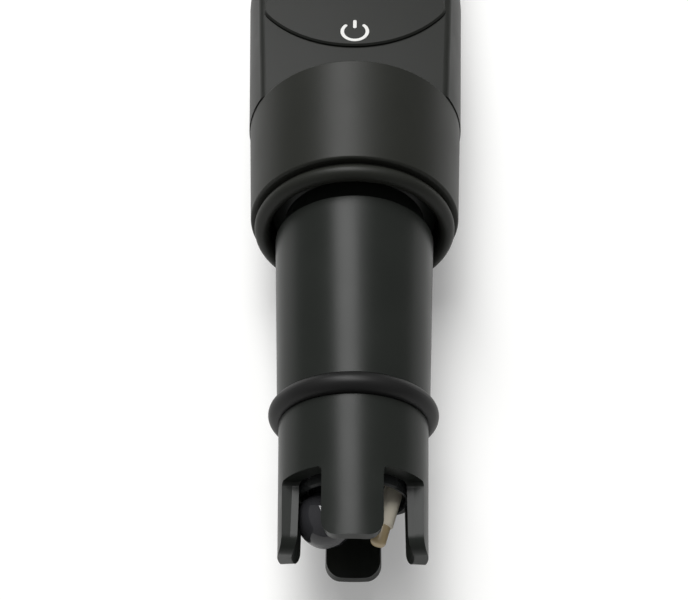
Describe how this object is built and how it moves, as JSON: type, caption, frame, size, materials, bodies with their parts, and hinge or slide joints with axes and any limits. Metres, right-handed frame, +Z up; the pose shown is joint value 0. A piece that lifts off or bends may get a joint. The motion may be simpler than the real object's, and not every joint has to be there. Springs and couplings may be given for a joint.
{
  "type": "ph tester",
  "caption": "Pocket pH tester: flat-fronted round body with display and keys, screw collar, tapered probe stem with ring seal, pronged guard and glass bulb, lying on its back",
  "frame": {"origin": "middle of the footprint, on the surface that the tester's flat back rests on", "axes": "Y runs along the tester from the probe tip at the negative end to the battery cap at the positive end, Z is up, out of the display, and X runs across the body"},
  "size_m": [0.036, 0.173, 0.035],
  "materials": {
    "body_plastic": "fine matte moulded",
    "plate_film": "satin film",
    "button_plastic": "satin",
    "lens_clear": "clear polished",
    "display_glass": "grey-green display",
    "board_laminate": "solder mask",
    "chip_plastic": "moulded epoxy",
    "switch_plastic": "moulded",
    "socket_plastic": "moulded",
    "contact_metal": "plated",
    "carrier_plastic": "moulded",
    "cell_steel": "plated steel",
    "cap_plastic": "fine matte moulded",
    "collar_plastic": "satin moulded",
    "probe_plastic": "satin moulded",
    "seal_rubber": "smooth",
    "base_resin": "potted resin",
    "bulb_glass": "smoky glass",
    "wire_silver": "silver",
    "junction_ceramic": "porous",
    "wick_resin": "translucent",
    "pin_steel": "polished steel"
  },
  "bodies": {
    "housing": {"housing": "body_plastic", "front_plate": "plate_film", "display_lens": "lens_clear", "display_module": "display_glass", "circuit_board": "board_laminate", "contact_board": "board_laminate", "processor_chip": "chip_plastic", "mode_switch": "switch_plastic", "calibrate_switch": "switch_plastic", "power_switch": "switch_plastic", "electrode_socket": "socket_plastic", "contact_springs": "contact_metal", "cell_links": "contact_metal", "battery_carrier": "carrier_plastic", "button_cell_1": "cell_steel", "button_cell_2": "cell_steel", "button_cell_3": "cell_steel", "button_cell_4": "cell_steel"},
    "probe": {"probe_body": "probe_plastic", "probe_ring": "seal_rubber", "sensor_base": "base_resin", "glass_bulb": "bulb_glass", "silver_wire": "wire_silver", "reference_junction": "junction_ceramic", "junction_wick": "wick_resin", "temperature_pin": "pin_steel", "probe_plug": "socket_plastic", "plug_pins": "contact_metal", "collar_gasket": "seal_rubber"},
    "collar": {"collar": "collar_plastic"},
    "battery_cap": {"battery_cap": "cap_plastic", "cap_seal": "seal_rubber"},
    "mode_button": {"mode_button": "button_plastic"},
    "calibrate_button": {"calibrate_button": "button_plastic"},
    "power_button": {"power_button": "button_plastic"}
  },
  "joints": [
    {"name": "probe_slide", "type": "slide", "parent": "housing", "child": "probe", "axis": [0, -1, 0], "range_m": [0, 0.003]},
    {"name": "collar_turn", "type": "hinge", "parent": "probe", "child": "collar", "pos_m": [0, -0.02851, 0.017], "axis": [0, -1, 0], "range_deg": [0, 540]},
    {"name": "cap_turn", "type": "hinge", "parent": "housing", "child": "battery_cap", "pos_m": [0, 0.08149, 0.017], "axis": [0, 1, 0], "range_deg": [0, 60]},
    {"name": "mode_press", "type": "slide", "parent": "housing", "child": "mode_button", "axis": [0, 0, -1], "range_m": [0, 0.0005], "stiffness_N_per_m": 1200},
    {"name": "calibrate_press", "type": "slide", "parent": "housing", "child": "calibrate_button", "axis": [0, 0, -1], "range_m": [0, 0.0005], "stiffness_N_per_m": 1200},
    {"name": "power_press", "type": "slide", "parent": "housing", "child": "power_button", "axis": [0, 0, -1], "range_m": [0, 0.0005], "stiffness_N_per_m": 1200}
  ],
  "couplings": [
    {"joint": "collar_turn", "follows": "probe_slide", "rad_per_m": 3141.6}
  ]
}
